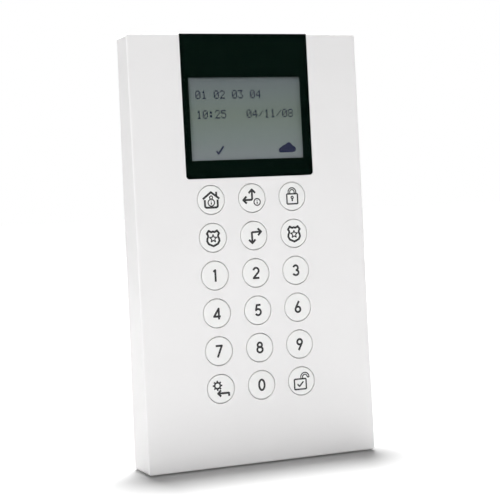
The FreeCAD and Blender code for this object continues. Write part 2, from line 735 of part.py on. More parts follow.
def board_parts():
    """The parts soldered to the back of the board."""
    chips = face_body("board_chips")
    block(chips, "processor", "processor_side", "processor_side", "processor_x", "processor_y",
          *on_board("processor_height"))
    driver = block(chips, "driver", "driver_length", "driver_width", "driver_x", "driver_y",
                   *on_board("driver_height"))
    grid(chips, "drivers", [driver], 2, "driver_pitch")

    capacitors = face_body("board_capacitors")
    can = post(capacitors, "can", "capacitor_radius", "capacitor_x", "capacitor_y",
               *on_board("capacitor_height"))
    grid(capacitors, "cans", [can], 2, "capacitor_pitch")

    passives = face_body("board_passives")
    chip = block(passives, "chip", "passive_length", "passive_width", "passive_x", "passive_y",
                 *on_board("passive_height"))
    grid(passives, "chips", [chip], 5, "passive_pitch", 4, "passive_pitch")

    buzzer = face_body("buzzer")
    low, high = on_board("buzzer_height")
    post(buzzer, "case", "buzzer_radius", "buzzer_x", "buzzer_y", low, high)
    hole(buzzer, "sound_port", "buzzer_port_radius", "buzzer_x", "buzzer_y", f"{low} - overshoot",
         f"{low} + buzzer_height/2")


def terminal_block():
    """Four screw terminals: a moulded block with a clamp and a screw in each way."""
    first_x = "(-1.5*terminal_pitch)"
    bottom_y = "(terminal_y - terminal_depth/2)"
    entry_z = "(-board_rear - terminal_entry_rise)"
    body = face_body("terminal_block")
    block(body, "housing", "terminal_width", "terminal_depth", "0", "terminal_y",
          *on_board("terminal_height"))
    well = hole(body, "well", "terminal_well_radius", first_x, "terminal_y", "-terminal_rear - overshoot",
                "-terminal_rear + terminal_well_depth")
    entry_view = rectangle(body, "entry_sketch", "terminal_entry", "terminal_entry",
                           (first_x, entry_z, f"-{bottom_y}"), plane="XZ_Plane")
    entry = pocket(body, "entry", entry_view, "terminal_entry_depth")
    grid(body, "ways", [well, entry], 4, "terminal_pitch")

    clamps = face_body("terminal_clamps")
    clamp_side = "(terminal_entry - 2*clamp_wall_gap)"
    inner_y = f"({bottom_y} + terminal_entry_depth)"
    clamp_view = rectangle(clamps, "clamp_sketch", clamp_side, clamp_side,
                           (first_x, entry_z, f"-{inner_y}"), plane="XZ_Plane")
    clamp = pad(clamps, "clamp", clamp_view, "clamp_length")
    bore_view = rectangle(clamps, "bore_sketch", "clamp_bore", "clamp_bore",
                          (first_x, entry_z, f"clamp_length - {inner_y}"), plane="XZ_Plane")
    bore = pocket(clamps, "bore", bore_view, "clamp_length")
    grid(clamps, "clamps", [clamp, bore], 4, "terminal_pitch")

    screws = face_body("terminal_screws")
    seat = "(-terminal_rear + terminal_well_depth)"
    screw = post(screws, "screw", "terminal_screw_radius", first_x, "terminal_y",
                 f"{seat} - terminal_screw_height", seat)
    head = f"({seat} - terminal_screw_height)"
    drive = hollow(screws, "drive", "drive_length", "drive_width", first_x, "terminal_y",
                   f"{head} - overshoot", f"{head} + drive_depth")
    grid(screws, "screws", [screw, drive], 4, "terminal_pitch")


def rear_housing():
    """The tub behind the board: its rim closes the cover, and it hangs on the bracket's hooks."""
    body = wall_body("rear_housing")
    block(body, "rim", "rim_width", "rim_height", "0", "rim_y", "wall_gap", "rim_front", "rim_round")
    block(body, "tub", "tub_width", "tub_height", "0", "rim_y", "floor_rear", "rim_front", "tub_round")
    hollow(body, "inside", "tub_width - 2*tub_wall", "tub_height - 2*tub_wall", "0", "rim_y",
           "floor_front", "rim_front", "tub_round - tub_wall")
    place = ("-housing_screw_x", "-housing_screw_y")
    cup = post(body, "cup", "cup_radius", *place, "floor_rear", "cup_front")
    recess = hole(body, "head_recess", "housing_head_radius + screw_clearance", *place,
                  "floor_rear - overshoot", "cup_seat")
    shaft = hole(body, "screw_hole", "housing_screw_radius + screw_clearance", *place,
                 "floor_rear - overshoot", "cup_front")
    grid(body, "cups", [cup, recess, shaft], 2, "2*housing_screw_x", 2, "2*housing_screw_y")
    hollow(body, "cable_port", "port_width", "port_height", "0", "port_y", "floor_rear - overshoot",
           "floor_front", "cable_round")
    slot_height = "(hook_thickness + hook_lip + 4*hook_gap)"
    slot = hollow(body, "hook_slot", "hook_width + 4*hook_gap", slot_height, "-hook_pitch/2",
                  f"hook_y + hook_thickness/2 + hook_gap - {slot_height}/2",
                  "floor_rear - overshoot", "floor_front")
    grid(body, "hook_slots", [slot], 2, "hook_pitch")
    hole(body, "plunger_hole", "plunger_radius + plunger_gap", "tamper_x", "tamper_y",
         "floor_rear - overshoot", "floor_front")
    block(body, "lock_boss", "lock_width", "lock_length", "0", "lock_face_y + lock_length/2",
          "bracket_plate + lock_standoff", "floor_rear + overshoot")
    pilot = circle(body, "lock_pilot_sketch", "lock_screw_radius + lock_pilot_gap",
                   ("0", "lock_depth", "-lock_face_y"), "XZ_Plane")
    pocket(body, "lock_pilot", pilot, "lock_length + lock_gap")

    screws = wall_body("housing_screws")
    shank = post(screws, "shank", "housing_screw_radius", *place,
                 "cup_seat", "cup_front + housing_screw_bite")
    head = post(screws, "head", "housing_head_radius", *place, "cup_seat - housing_head_height", "cup_seat")
    drive = cross_drive(screws, *place, "cup_seat - housing_head_height - overshoot",
                        "cup_seat - housing_head_height + drive_depth")
    grid(screws, "screws", [shank, head, *drive], 2, "2*housing_screw_x", 2, "2*housing_screw_y")


def wall_bracket():
    """The tray screwed to the wall, open for the cable and the tamper plunger."""
    body = wall_body("wall_bracket")
    block(body, "plate", "bracket_width", "bracket_height", "0", "0", "0", "bracket_depth", "bracket_round")
    hollow(body, "tray", "bracket_width - 2*bracket_rim", "bracket_height - 2*bracket_rim", "0", "0",
           "bracket_plate", "bracket_depth", "bracket_round - bracket_rim")
    under = "(-overshoot)"
    wall_hole = hole(body, "wall_hole", "wall_hole_radius", "-wall_hole_pitch_x/2", "-wall_hole_pitch_y/2",
                     under, "bracket_plate")
    grid(body, "wall_holes", [wall_hole], 2, "wall_hole_pitch_x", 2, "wall_hole_pitch_y")
    straight = "(box_slot_length - 2*box_slot_radius)"
    slot = [
        hollow(body, "box_slot", straight, "2*box_slot_radius", "-box_slot_pitch/2", "box_slot_y",
               under, "bracket_plate"),
        hole(body, "box_slot_left", "box_slot_radius", f"-box_slot_pitch/2 - {straight}/2", "box_slot_y",
             under, "bracket_plate"),
        hole(body, "box_slot_right", "box_slot_radius", f"-box_slot_pitch/2 + {straight}/2", "box_slot_y",
             under, "bracket_plate"),
    ]
    grid(body, "box_slots", slot, 2, "box_slot_pitch")
    hollow(body, "cable_opening", "cable_width", "cable_height", "0", "cable_y", under, "bracket_plate",
           "cable_round")
    hole(body, "plunger_opening", "plunger_radius + plunger_hole_gap", "tamper_x", "tamper_y", under,
         "bracket_plate")
    lip_rear = "(floor_front + hook_gap)"
    hook = [
        block(body, "hook", "hook_width", "hook_thickness", "-hook_pitch/2", "hook_y",
              "bracket_plate - overshoot", f"{lip_rear} + hook_lip_thickness"),
        block(body, "hook_lip", "hook_width", "hook_thickness + hook_lip", "-hook_pitch/2",
              "hook_y + hook_lip/2", lip_rear, f"{lip_rear} + hook_lip_thickness"),
    ]
    grid(body, "hooks", hook, 2, "hook_pitch")
    lock_view = circle(body, "lock_hole_sketch", "lock_screw_radius + screw_clearance",
                       ("0", "lock_depth", "bracket_height/2"), "XZ_Plane")
    pocket(body, "lock_hole", lock_view, "bracket_rim")

    screw = wall_body("locking_screw")
    tip_y = "(lock_face_y + lock_length - lock_gap)"
    shank_view = circle(screw, "shank_sketch", "lock_screw_radius",
                        ("0", "lock_depth", f"-{tip_y}"), "XZ_Plane")
    pad(screw, "shank", shank_view, f"{tip_y} + bracket_height/2")
    head_view = circle(screw, "head_sketch", "lock_head_radius", ("0", "lock_depth", "bracket_height/2"),
                       "XZ_Plane")
    pad(screw, "head", head_view, "lock_head_height")
    for name, width, height in (("drive_across", "drive_length", "drive_width"),
                                ("drive_up", "drive_width", "drive_length")):
        drive_view = rectangle(screw, f"{name}_sketch", width, height,
                               ("0", "lock_depth", "bracket_height/2 + lock_head_height"), plane="XZ_Plane")
        pocket(screw, name, drive_view, "drive_depth")


def tamper():
    """The plunger that rests on the wall, its spring, and the switch on the board that it presses."""
    plunger = wall_body("tamper_plunger")
    post(plunger, "stem", "plunger_radius", "tamper_x", "tamper_y", "plunger_wall_gap", "collar_rear")
    post(plunger, "collar", "collar_radius", "tamper_x", "tamper_y", "collar_rear", "collar_front")
    post(plunger, "nub", "nub_radius", "tamper_x", "tamper_y", "collar_front", "nub_front")

    spring = wall_body("tamper_spring")
    coil_start = "(collar_front + spring_gap + spring_wire)"
    wire = circle(spring, "wire", "spring_wire", ("tamper_x", coil_start, "-tamper_y"), "XZ_Plane",
                  off_axis="spring_radius")
    coil = spring.newObject("PartDesign::AdditiveHelix", "coil")
    coil.Profile = wire
    coil.ReferenceAxis = (wire, ["V_Axis"])
    coil.Mode = "pitch-height-angle"
    coil.Angle = 0
    coil.setExpression("Pitch", bound("spring_pitch"))
    coil.setExpression("Height", bound(f"spring_front - {coil_start} - spring_wire"))

    switch = face_body("tamper_switch")
    low, high = on_board("switch_height")
    block(switch, "case", "switch_side", "switch_side", "tamper_x", "tamper_face_y", low, high)
    post(switch, "button", "switch_button_radius", "tamper_x", "tamper_face_y",
         f"{low} - switch_button_height", low)


def check_document():
    """Stops at any feature that failed, and at any cut that removed nothing."""
    for item in document.Objects:
        if {"Invalid", "Error"} & set(item.State):
            raise ValueError(f"{item.Label} of {item.getParentGeoFeatureGroup()} has the state {item.State}")
        if item.TypeId in ("PartDesign::Pocket", "PartDesign::Groove"):
            if not item.Shape.Volume < item.BaseFeature.Shape.Volume:
                raise ValueError(f"{item.Label} cuts nothing")


def export_bodies():
    bodies = [item for item in document.Objects if item.TypeId == "PartDesign::Body"]
    for body in bodies:
        if body.Shape.isNull() or not body.Shape.isValid():
            raise ValueError(f"{body.Label} has no valid shape")
    os.makedirs("parts", exist_ok=True)
    for body in bodies:
        body.Shape.exportStep(os.path.join("parts", f"{body.Label}.step"))


front_cover()
display_lens()
display_stack()
keys()
keypad_mat()
main_board()
board_parts()
terminal_block()
rear_housing()
wall_bracket()
tamper()
document.recompute()
check_document()
export_bodies()
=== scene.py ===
import json
import math

import bmesh
import bpy
from mathutils import Matrix, Vector


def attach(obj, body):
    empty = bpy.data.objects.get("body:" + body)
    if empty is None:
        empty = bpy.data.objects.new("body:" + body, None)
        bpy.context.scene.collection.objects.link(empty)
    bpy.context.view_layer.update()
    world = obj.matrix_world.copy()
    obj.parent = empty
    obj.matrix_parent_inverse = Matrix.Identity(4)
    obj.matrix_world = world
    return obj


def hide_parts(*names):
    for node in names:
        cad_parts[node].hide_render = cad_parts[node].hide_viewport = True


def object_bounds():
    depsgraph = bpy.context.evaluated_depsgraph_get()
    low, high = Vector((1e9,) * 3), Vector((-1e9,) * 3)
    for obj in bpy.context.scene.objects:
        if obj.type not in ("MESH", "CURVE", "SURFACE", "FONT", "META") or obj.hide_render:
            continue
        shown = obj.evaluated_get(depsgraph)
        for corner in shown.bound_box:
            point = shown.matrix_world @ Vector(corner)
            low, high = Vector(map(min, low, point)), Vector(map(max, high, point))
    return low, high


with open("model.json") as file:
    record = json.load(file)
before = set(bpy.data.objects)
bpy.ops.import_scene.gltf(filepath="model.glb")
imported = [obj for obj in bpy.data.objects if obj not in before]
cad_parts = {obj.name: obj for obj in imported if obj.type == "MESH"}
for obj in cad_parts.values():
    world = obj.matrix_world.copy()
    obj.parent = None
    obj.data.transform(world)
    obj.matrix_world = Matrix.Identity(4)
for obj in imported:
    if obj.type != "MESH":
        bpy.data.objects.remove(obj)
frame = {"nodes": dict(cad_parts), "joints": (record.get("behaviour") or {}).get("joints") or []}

cad_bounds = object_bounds()

# --- Front cover ---------------------------------------------------------------------------------
# The shell is one injection moulding in white ABS, straight from a tool with a fine spark-eroded
# texture, so it is satin rather than glossy. It is held to the rear housing by screws from behind.
# Every key slides straight into the face, so the keys' joints give the direction of the face.
MM = 0.001
inward = Vector(frame["joints"][0]["axis"]).normalized()
outward = -inward
right = Vector((1, 0, 0))
up = outward.cross(right)


def reach(piece, direction):
    """The lowest and highest place of a piece's vertices along a direction."""
    along = [direction.dot(vertex.co) for vertex in piece.data.vertices]
    return min(along), max(along)


def face_place(piece):
    """A node's middle across and up the face, and the level of its front, in metres."""
    across = sum(reach(piece, right)) / 2
    height = sum(reach(piece, up)) / 2
    return across, height, reach(piece, outward)[1]


nodes = frame["nodes"]
cover_y, face_level = face_place(nodes["front_cover"])[1:]
face_axes = Matrix((right, up, outward)).transposed().to_4x4()
FACE = Matrix.Translation(outward * face_level + up * cover_y) @ face_axes


def linear(hex_colour):
    """An sRGB hex colour as the linear numbers that a shader takes."""
    parts = [int(hex_colour[i:i + 2], 16) / 255 for i in (1, 3, 5)]
    return tuple(p / 12.92 if p <= 0.04045 else ((p + 0.055) / 1.055) ** 2.4 for p in parts) + (1.0,)


def add_node(material, kind, links=(), **settings):
    """Adds a shader node. links are (input, output socket). A setting that starts with in_ is the value
    of the input of that name, and any other is a property of the node."""
    tree = material.node_tree
    made = tree.nodes.new(kind)
    for name, setting in settings.items():
        if name.startswith("in_"):
            made.inputs[name[3:].replace("_", " ")].default_value = setting
        else:
            setattr(made, name, setting)
    for name, source in links:
        tree.links.new(source, made.inputs[name])
    return made


def new_material(name):
    """A material with no nodes yet."""
    material = bpy.data.materials.new(name)
    material.use_nodes = True
    material.node_tree.nodes.clear()
    return material


def finish_surface(material, shader):
    """Leads a shader to the material's surface."""
    add_node(material, "ShaderNodeOutputMaterial", [("Surface", shader)])
    return material


FLOW_SIZE = 45 * MM      # How far apart the lighter and darker areas of a moulding lie.
PLASTIC_INDEX = 1.54     # Typical of ABS, nylon and epoxy.


def moulded(name, colour, shade, roughness, grain=0.35, depth=0.010):
    """A moulded plastic. colour and shade are what it drifts between over a few centimetres, as real
    mouldings do with flow and wall thickness; grain and depth are the tool's texture, in millimetres."""
    material = new_material(name)
    place = add_node(material, "ShaderNodeTexCoord").outputs["Object"]
    drift = add_node(material, "ShaderNodeTexNoise", [("Vector", place)],
                     in_Scale=1 / FLOW_SIZE, in_Detail=2.0)
    colours = add_node(material, "ShaderNodeValToRGB", [("Fac", drift.outputs["Fac"])])
    colours.color_ramp.elements[0].position = 0.35
    colours.color_ramp.elements[0].color = linear(shade)
    colours.color_ramp.elements[1].position = 0.65
    colours.color_ramp.elements[1].color = linear(colour)
    texture = add_node(material, "ShaderNodeTexNoise", [("Vector", place)], in_Scale=1 / (grain * MM),
                       in_Detail=3.0, in_Roughness=0.6)
    gloss = add_node(material, "ShaderNodeMapRange", [("Value", texture.outputs["Fac"])],
                     in_To_Min=roughness - 0.05, in_To_Max=roughness + 0.05)
    bump = add_node(material, "ShaderNodeBump", [("Height", texture.outputs["Fac"])],
                    in_Strength=0.35, in_Distance=depth * MM)
    shader = add_node(material, "ShaderNodeBsdfPrincipled", [
        ("Base Color", colours.outputs["Color"]), ("Roughness", gloss.outputs["Result"]),
        ("Normal", bump.outputs["Normal"])], in_IOR=PLASTIC_INDEX)
    return finish_surface(material, shader.outputs["BSDF"])


def wear(material, *names):
    """Gives CAD nodes a material."""
    for name in names:
        for slot in nodes[name].material_slots:
            slot.material = material


white_abs = moulded("white_abs_spark_eroded", "#f1f0f0", "#efeeee", 0.44)
wear(white_abs, "front_cover")

# --- Keys ----------------------------------------------------------------------------------------
# Eighteen caps moulded in the same white ABS as the cover, from a smoother tool, so they look a
# little brighter. Each legend is pad-printed in one coat of black ink, a few hundredths proud.
key_abs = moulded("white_abs_key", "#f3f3f2", "#f1f1f0", 0.38, grain=0.25, depth=0.005)
KEYS = [name for name in nodes if name.startswith("key_") and name != "key_leds"]
wear(key_abs, *KEYS)

INK_HEIGHT = 0.02    # Thickness of the print, in millimetres.
BOLD = 0.74          # Stroke of a digit or of an icon's outline.
FINE = 0.42          # Stroke of the small detail inside an icon.
ARC_STEP = math.radians(9)
SHARP = math.radians(25)   # A stroke that turns more than this at a point is laid as two beads.


def arc(x, y, radius_x, radius_y, start, end):
    """Points along an ellipse about x, y, from one angle to another in degrees."""
    start, end = math.radians(start), math.radians(end)
    count = max(2, math.ceil(abs(end - start) / ARC_STEP))
    turns = [start + (end - start) * i / count for i in range(count + 1)]
    return [(x + radius_x * math.cos(turn), y + radius_y * math.sin(turn)) for turn in turns]


def ring(x, y, radius_x, radius_y=None):
    """A circle, or an ellipse, without its first point again at the end."""
    return arc(x, y, radius_x, radius_y or radius_x, 0, 360)[:-1]


def rounded_box(x, y, half_x, half_y, corner):
    """A rectangle about x, y with round corners."""
    points = []
    for quarter, (side_x, side_y) in enumerate(((1, 1), (-1, 1), (-1, -1), (1, -1))):
        points += arc(x + side_x * (half_x - corner), y + side_y * (half_y - corner), corner, corner,
                      90 * quarter, 90 * quarter + 90)
    return points


def star(x, y, outer, inner, points=5):
    """A star about x, y, with one point upwards."""
    shape = []
    for i in range(2 * points):
        turn = math.pi / 2 + math.pi * i / points
        radius = inner if i % 2 else outer
        shape.append((x + radius * math.cos(turn), y + radius * math.sin(turn)))
    return shape


def beads(width, closed, points):
    """Cuts a stroke at its sharp corners, and gives its beads and the corners."""
    loop = [Vector(point) for point in points]
    loop += loop[:2] if closed else []
    corners = [i for i in range(1, len(loop) - 1)
               if (loop[i] - loop[i - 1]).angle(loop[i + 1] - loop[i]) > SHARP]
    if not corners:
        return [(width, closed, points)], []
    ends = [0] + corners + [len(loop) - 1]
    pieces = [(width, False, loop[start:end + 1]) for start, end in zip(ends, ends[1:])]
    return pieces, [(width, loop[i]) for i in corners]


def ink_strokes(name, strokes, across, height, level, thickness=INK_HEIGHT):
    """Lays flat beads of ink on the face. strokes are (width, closed, points), in millimetres."""
    cut = [beads(*stroke) for stroke in strokes]
    strokes = [bead for pieces, corners in cut for bead in pieces]
    flatten = 2 * thickness / max(width for width, closed, points in strokes)
    curve = bpy.data.curves.new(name, "CURVE")
    curve.dimensions = "3D"
    curve.bevel_depth = 0.5    # Half a bead's width, because each point's radius below is the width.
    curve.bevel_resolution = 2
    curve.use_fill_caps = True
    for width, closed, points in strokes:
        line = curve.splines.new("POLY")
        line.points.add(len(points) - 1)
        line.use_cyclic_u = closed
        for point, (x, y) in zip(line.points, points):
            point.co = (x, y, 0, 1)
            point.radius = width
    holder = bpy.data.objects.new(name, curve)
    mesh = bpy.data.meshes.new_from_object(holder)
    bpy.data.objects.remove(holder)
    bpy.data.curves.remove(curve)
    laid = bmesh.new()
    laid.from_mesh(mesh)
    for width, corner in (joint for pieces, corners in cut for joint in corners):
        bmesh.ops.create_cone(laid, cap_ends=True, cap_tris=False, segments=16, radius1=width / 2,
                              radius2=width / 2, depth=width, matrix=Matrix.Translation((*corner, 0)))
    bmesh.ops.scale(laid, verts=laid.verts[:], vec=(1, 1, flatten))
    laid.to_mesh(mesh)
    laid.free()
    mesh.transform(FACE @ Matrix.Translation((across, height, level)) @ Matrix.Scale(MM, 4))
    mesh.name = name
    piece = bpy.data.objects.new(name, mesh)
    bpy.context.scene.collection.objects.link(piece)
    return piece


INK_PATCH = 0.3 * MM     # The size of the patches in a film of ink.


def pad_ink(name, colour, roughness, ior=1.5):
    """Printing ink: matt, with the slightly uneven film that the pad or the screen leaves."""
    material = new_material(name)
    place = add_node(material, "ShaderNodeTexCoord").outputs["Object"]
    film = add_node(material, "ShaderNodeTexNoise", [("Vector", place)],
                    in_Scale=1 / INK_PATCH, in_Detail=2.0)
    gloss = add_node(material, "ShaderNodeMapRange", [("Value", film.outputs["Fac"])],
                     in_To_Min=roughness - 0.08, in_To_Max=roughness + 0.08)
    shader = add_node(material, "ShaderNodeBsdfPrincipled", [("Roughness", gloss.outputs["Result"])],
                      in_Base_Color=linear(colour), in_IOR=ior)
    return finish_surface(material, shader.outputs["BSDF"])


black_ink = pad_ink("black_pad_ink", "#0f0f11", 0.5)

HALF = 1.85   # Half the height of a digit, to the middle of its stroke.
FOOT = 2.2    # Half the height of a digit where a straight stroke runs out.
DIGITS = {
    "key_0": [(BOLD, True, ring(0, 0, 1.05, HALF))],
    "key_1": [(BOLD, False, [(-0.62, 1.32), (0.12, HALF), (0.12, -FOOT)])],
    "key_2": [(BOLD, False, arc(0.03, 0.75, 1.02, 1.02, 168, -38) + [(-1.0, -HALF), (1.2, -HALF)])],
    "key_3": [(BOLD, False, arc(-0.08, 0.85, 0.88, 0.92, 165, -90)),
              (BOLD, False, arc(-0.08, -0.84, 1.05, 0.93, 90, -162))],
    "key_4": [(BOLD, False, [(0.62, -FOOT), (0.62, 1.6), (-1.2, -1.15), (1.3, -1.15)])],
    "key_5": [(BOLD, False, [(1.1, HALF), (-0.38, HALF)] + arc(0.02, -0.68, 1.05, 1.08, 138, -150))],
    "key_6": [(BOLD, True, ring(0, -0.8, 0.95, 0.97)), (BOLD, False, [(0.5, FOOT), (-0.82, -0.3)])],
    "key_7": [(BOLD, False, [(-1.2, HALF), (1.1, HALF), (-0.6, -FOOT)])],
    "key_8": [(BOLD, True, ring(0, 0.93, 0.83, 0.84)), (BOLD, True, ring(0, -0.76, 1.03, 1.01))],
    "key_9": [(BOLD, True, ring(0, 0.8, 0.95, 0.97)), (BOLD, False, [(-0.5, -FOOT), (0.82, 0.3)])],
}


def arrow(tail, tip, wing):
    """A straight arrow from tail to tip, with a head of that wing length."""
    run = Vector(tip) - Vector(tail)
    back = -run.normalized() * wing
    side = Vector((-back.y, back.x))
    near = Vector(tip) + back
    return [(BOLD, False, [tail, tip]), (BOLD, False, [tuple(near + side), tip, tuple(near - side)])]


def info_mark(x, y, radius):
    """A ring with a dot over a bar."""
    return [(FINE, True, ring(x, y, radius)), (FINE, False, [(x, y - 0.55 * radius), (x, y + 0.12 * radius)]),
            (FINE, False, [(x, y + 0.38 * radius), (x, y + 0.62 * radius)])]


SHIELD_HALF = [(0.0, 2.15), (0.55, 1.95), (1.0, 2.1), (1.55, 2.45), (2.3, 1.45), (1.95, 0.95), (1.85, 0.35),
               (2.2, -0.4), (2.3, -1.2), (1.75, -2.2), (0.8, -2.65), (0.0, -3.0)]
SHIELD = [(BOLD, True, SHIELD_HALF + [(-x, y) for x, y in reversed(SHIELD_HALF[1:-1])]),
          (FINE, True, star(0, -0.35, 1.35, 0.62))]
ICONS = {
    "key_stay": [(BOLD, False, [(-3.1, 0.3), (0, 2.65), (3.1, 0.3)]),
                 (BOLD, False, [(2.0, 2.75), (2.0, 1.3)]),
                 (BOLD, False, [(-2.4, 0.0)] + arc(-1.7, -2.05, 0.7, 0.7, 180, 270)
                  + arc(1.7, -2.05, 0.7, 0.7, 270, 360) + [(2.4, 0.0)]),
                 (FINE, True, ring(0, 0.78, 0.55)), *info_mark(0, -1.05, 1.2)],
    "key_browse_info": [*arrow((0, -0.2), (0, 3.0), 1.25), *arrow((-0.4, -0.65), (-3.4, -0.65), 1.25),
                        (BOLD, False, arc(-0.5, -0.15, 0.5, 0.5, 0, -90)), *info_mark(1.85, -1.5, 1.2)],
    "key_arm": [(0.55, True, rounded_box(0, -0.95, 2.1, 1.8, 0.35)),
                (FINE, False, [(-1.5, 0.9)] + arc(0, 1.5, 1.5, 1.55, 180, 0) + [(1.5, 0.9)]),
                (FINE, False, [(-0.85, 0.9)] + arc(0, 1.5, 0.85, 0.9, 180, 0) + [(0.85, 0.9)]),
                (0.45, True, ring(0, -0.45, 0.42)), (0.6, False, [(0, -0.9), (0, -1.8)])],
    "key_shield_left": SHIELD,
    "key_shield_right": SHIELD,
    "key_browse": [*arrow((-0.8, 1.15), (2.75, 1.25), 1.25), *arrow((-0.8, 1.3), (-0.75, -2.7), 1.25)],
    "key_menu_back": [(0.62, True, ring(-1.3, 1.2, 1.05)),
                      *[(0.6, False, [(-1.3 + 1.2 * math.cos(t), 1.2 + 1.2 * math.sin(t)),
                                      (-1.3 + 1.8 * math.cos(t), 1.2 + 1.8 * math.sin(t))])
                        for t in (math.pi / 4 * i for i in range(8))],
                      *arrow((2.9, -1.6), (-1.2, -1.6), 1.1), (BOLD, False, [(2.85, -1.35), (2.95, -2.75)])],
    "key_disarm": [(0.55, True, rounded_box(-0.55, -1.1, 2.3, 1.85, 0.35)),
                   (FINE, False, [(-0.2, 0.9)] + arc(1.35, 1.45, 1.6, 1.5, 180, -12)),
                   (FINE, False, [(0.5, 0.9)] + arc(1.35, 1.45, 0.9, 0.8, 180, -12)),
                   (FINE, False, [(2.22, 1.3), (2.9, 1.15)]),
                   (0.55, False, [(-1.7, -1.05), (-0.9, -1.9), (0.7, -0.2)])],
}
for key_name, strokes in {**DIGITS, **ICONS}.items():
    across, height, level = face_place(nodes[key_name])
    legend = ink_strokes(f"legend_{key_name[4:]}", strokes, across, height - cover_y, level - face_level)
    legend.data.materials.append(black_ink)
    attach(legend, key_name)

# --- Display lens --------------------------------------------------------------------------------
# A sheet of clear cast acrylic with polished edges, laid flush in the cover's recess on tape. Its
# back is screen-printed black all over, except for the window in front of the display.
lens_node = nodes["display_lens"]
lens_low_x, lens_high_x = reach(lens_node, right)
lens_low_y, lens_high_y = (edge - cover_y for edge in reach(lens_node, up))
lens_back, lens_front = (edge - face_level for edge in reach(lens_node, outward))
LENS_CORNER = 1.3 * MM
LENS_EDGE = 0.15 * MM
EDGE_INK = 0.06 * MM     # The black also runs round the sheet's edge.
PRINT_THICKNESS = 0.02 * MM
NEAR = 0.001 * MM        # Points nearer than this to a plane lie in it.
SHEET_RIPPLE = 6 * MM    # The faint waviness of a cast sheet.
VIEW_WIDTH = 42.7 * MM   # The window in the print.
VIEW_HEIGHT = 29.2 * MM
glass_x, glass_y, glass_level = face_place(nodes["lcd_glass"])
glass_y -= cover_y
glass_level -= face_level


def face_block(mesh, low, high):
    """A box between two corners in the face's axes, added to a bmesh."""
    middle = [(a + b) / 2 for a, b in zip(low, high)]
    size = [b - a for a, b in zip(low, high)]
    shape = Matrix.Translation(middle) @ Matrix.Diagonal((*size, 1))
    bmesh.ops.create_cube(mesh, size=1, matrix=shape)


def place_mesh(mesh, name, material):
    """Turns a bmesh made in the face's axes into a finished piece."""
    data = bpy.data.meshes.new(name)
    bmesh.ops.recalc_face_normals(mesh, faces=mesh.faces[:])
    mesh.to_mesh(data)
    mesh.free()
    data.transform(FACE)
    data.materials.append(material)
    piece = bpy.data.objects.new(name, data)
    bpy.context.scene.collection.objects.link(piece)
    return piece


def round_edges(mesh, edges, radius, segments):
    """Rounds some of a solid's edges."""
    bmesh.ops.bevel(mesh, geom=edges, offset=radius, segments=segments, profile=0.5, affect="EDGES",
                    material=-1)


def cast_acrylic():
    """Clear acrylic that lets the lamps through to the display. It looks nearly black over its print, so
    its index is well under the 1.49 of bare acrylic, as if it had an anti-reflection coating."""
    material = new_material("clear_cast_acrylic")
    place = add_node(material, "ShaderNodeTexCoord").outputs["Object"]
    ripple = add_node(material, "ShaderNodeTexNoise", [("Vector", place)],
                      in_Scale=1 / SHEET_RIPPLE, in_Detail=1.0)
    bump = add_node(material, "ShaderNodeBump", [("Height", ripple.outputs["Fac"])],
                    in_Strength=0.05, in_Distance=0.01 * MM)
    glass = add_node(material, "ShaderNodeBsdfPrincipled", [("Normal", bump.outputs["Normal"])],
                     in_Base_Color=linear("#fbfdfc"), in_Roughness=0.02, in_IOR=1.1,
                     in_Transmission_Weight=1.0)
    clear = add_node(material, "ShaderNodeBsdfTransparent", in_Color=linear("#fbfdfc"))
    rays = add_node(material, "ShaderNodeLightPath")
    mixed = add_node(material, "ShaderNodeMixShader", [
        (0, rays.outputs["Is Shadow Ray"]), (1, glass.outputs["BSDF"]), (2, clear.outputs["BSDF"])])
    return finish_surface(material, mixed.outputs["Shader"])


sheet_mesh = bmesh.new()
# The sheet's back and sides lie half-way into the ink, so that no two faces lie in one plane.
sheet_inset = EDGE_INK / 2
face_block(sheet_mesh, (lens_low_x + sheet_inset, lens_low_y + sheet_inset, lens_back + PRINT_THICKNESS / 2),
           (lens_high_x - sheet_inset, lens_high_y - sheet_inset, lens_front))
bottom_corners = [edge for edge in sheet_mesh.edges
                  if all(v.co.y < lens_low_y + LENS_EDGE for v in edge.verts)
                  and abs(edge.verts[0].co.x - edge.verts[1].co.x) < NEAR]
round_edges(sheet_mesh, bottom_corners, LENS_CORNER, 8)
front_edges = [edge for edge in sheet_mesh.edges if all(abs(v.co.z - lens_front) < NEAR for v in edge.verts)]
round_edges(sheet_mesh, front_edges, LENS_EDGE, 3)
lens_sheet = place_mesh(sheet_mesh, "lens_sheet", cast_acrylic())
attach(lens_sheet, "panel")
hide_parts("display_lens")


def round_bottom(mesh):
    """Rounds the two lower corners of a flat outline of the lens."""
    low = [v for v in mesh.verts if abs(v.co.y - lens_low_y) < NEAR]
    bmesh.ops.bevel(mesh, geom=low, offset=LENS_CORNER, segments=8, profile=0.5, affect="VERTICES",
                    material=-1)


def raise_faces(mesh, height):
    """Gives flat faces a thickness, towards the front."""
    walls = bmesh.ops.extrude_face_region(mesh, geom=mesh.faces[:])
    raised = [item for item in walls["geom"] if isinstance(item, bmesh.types.BMVert)]
    bmesh.ops.translate(mesh, verts=raised, vec=(0, 0, height))


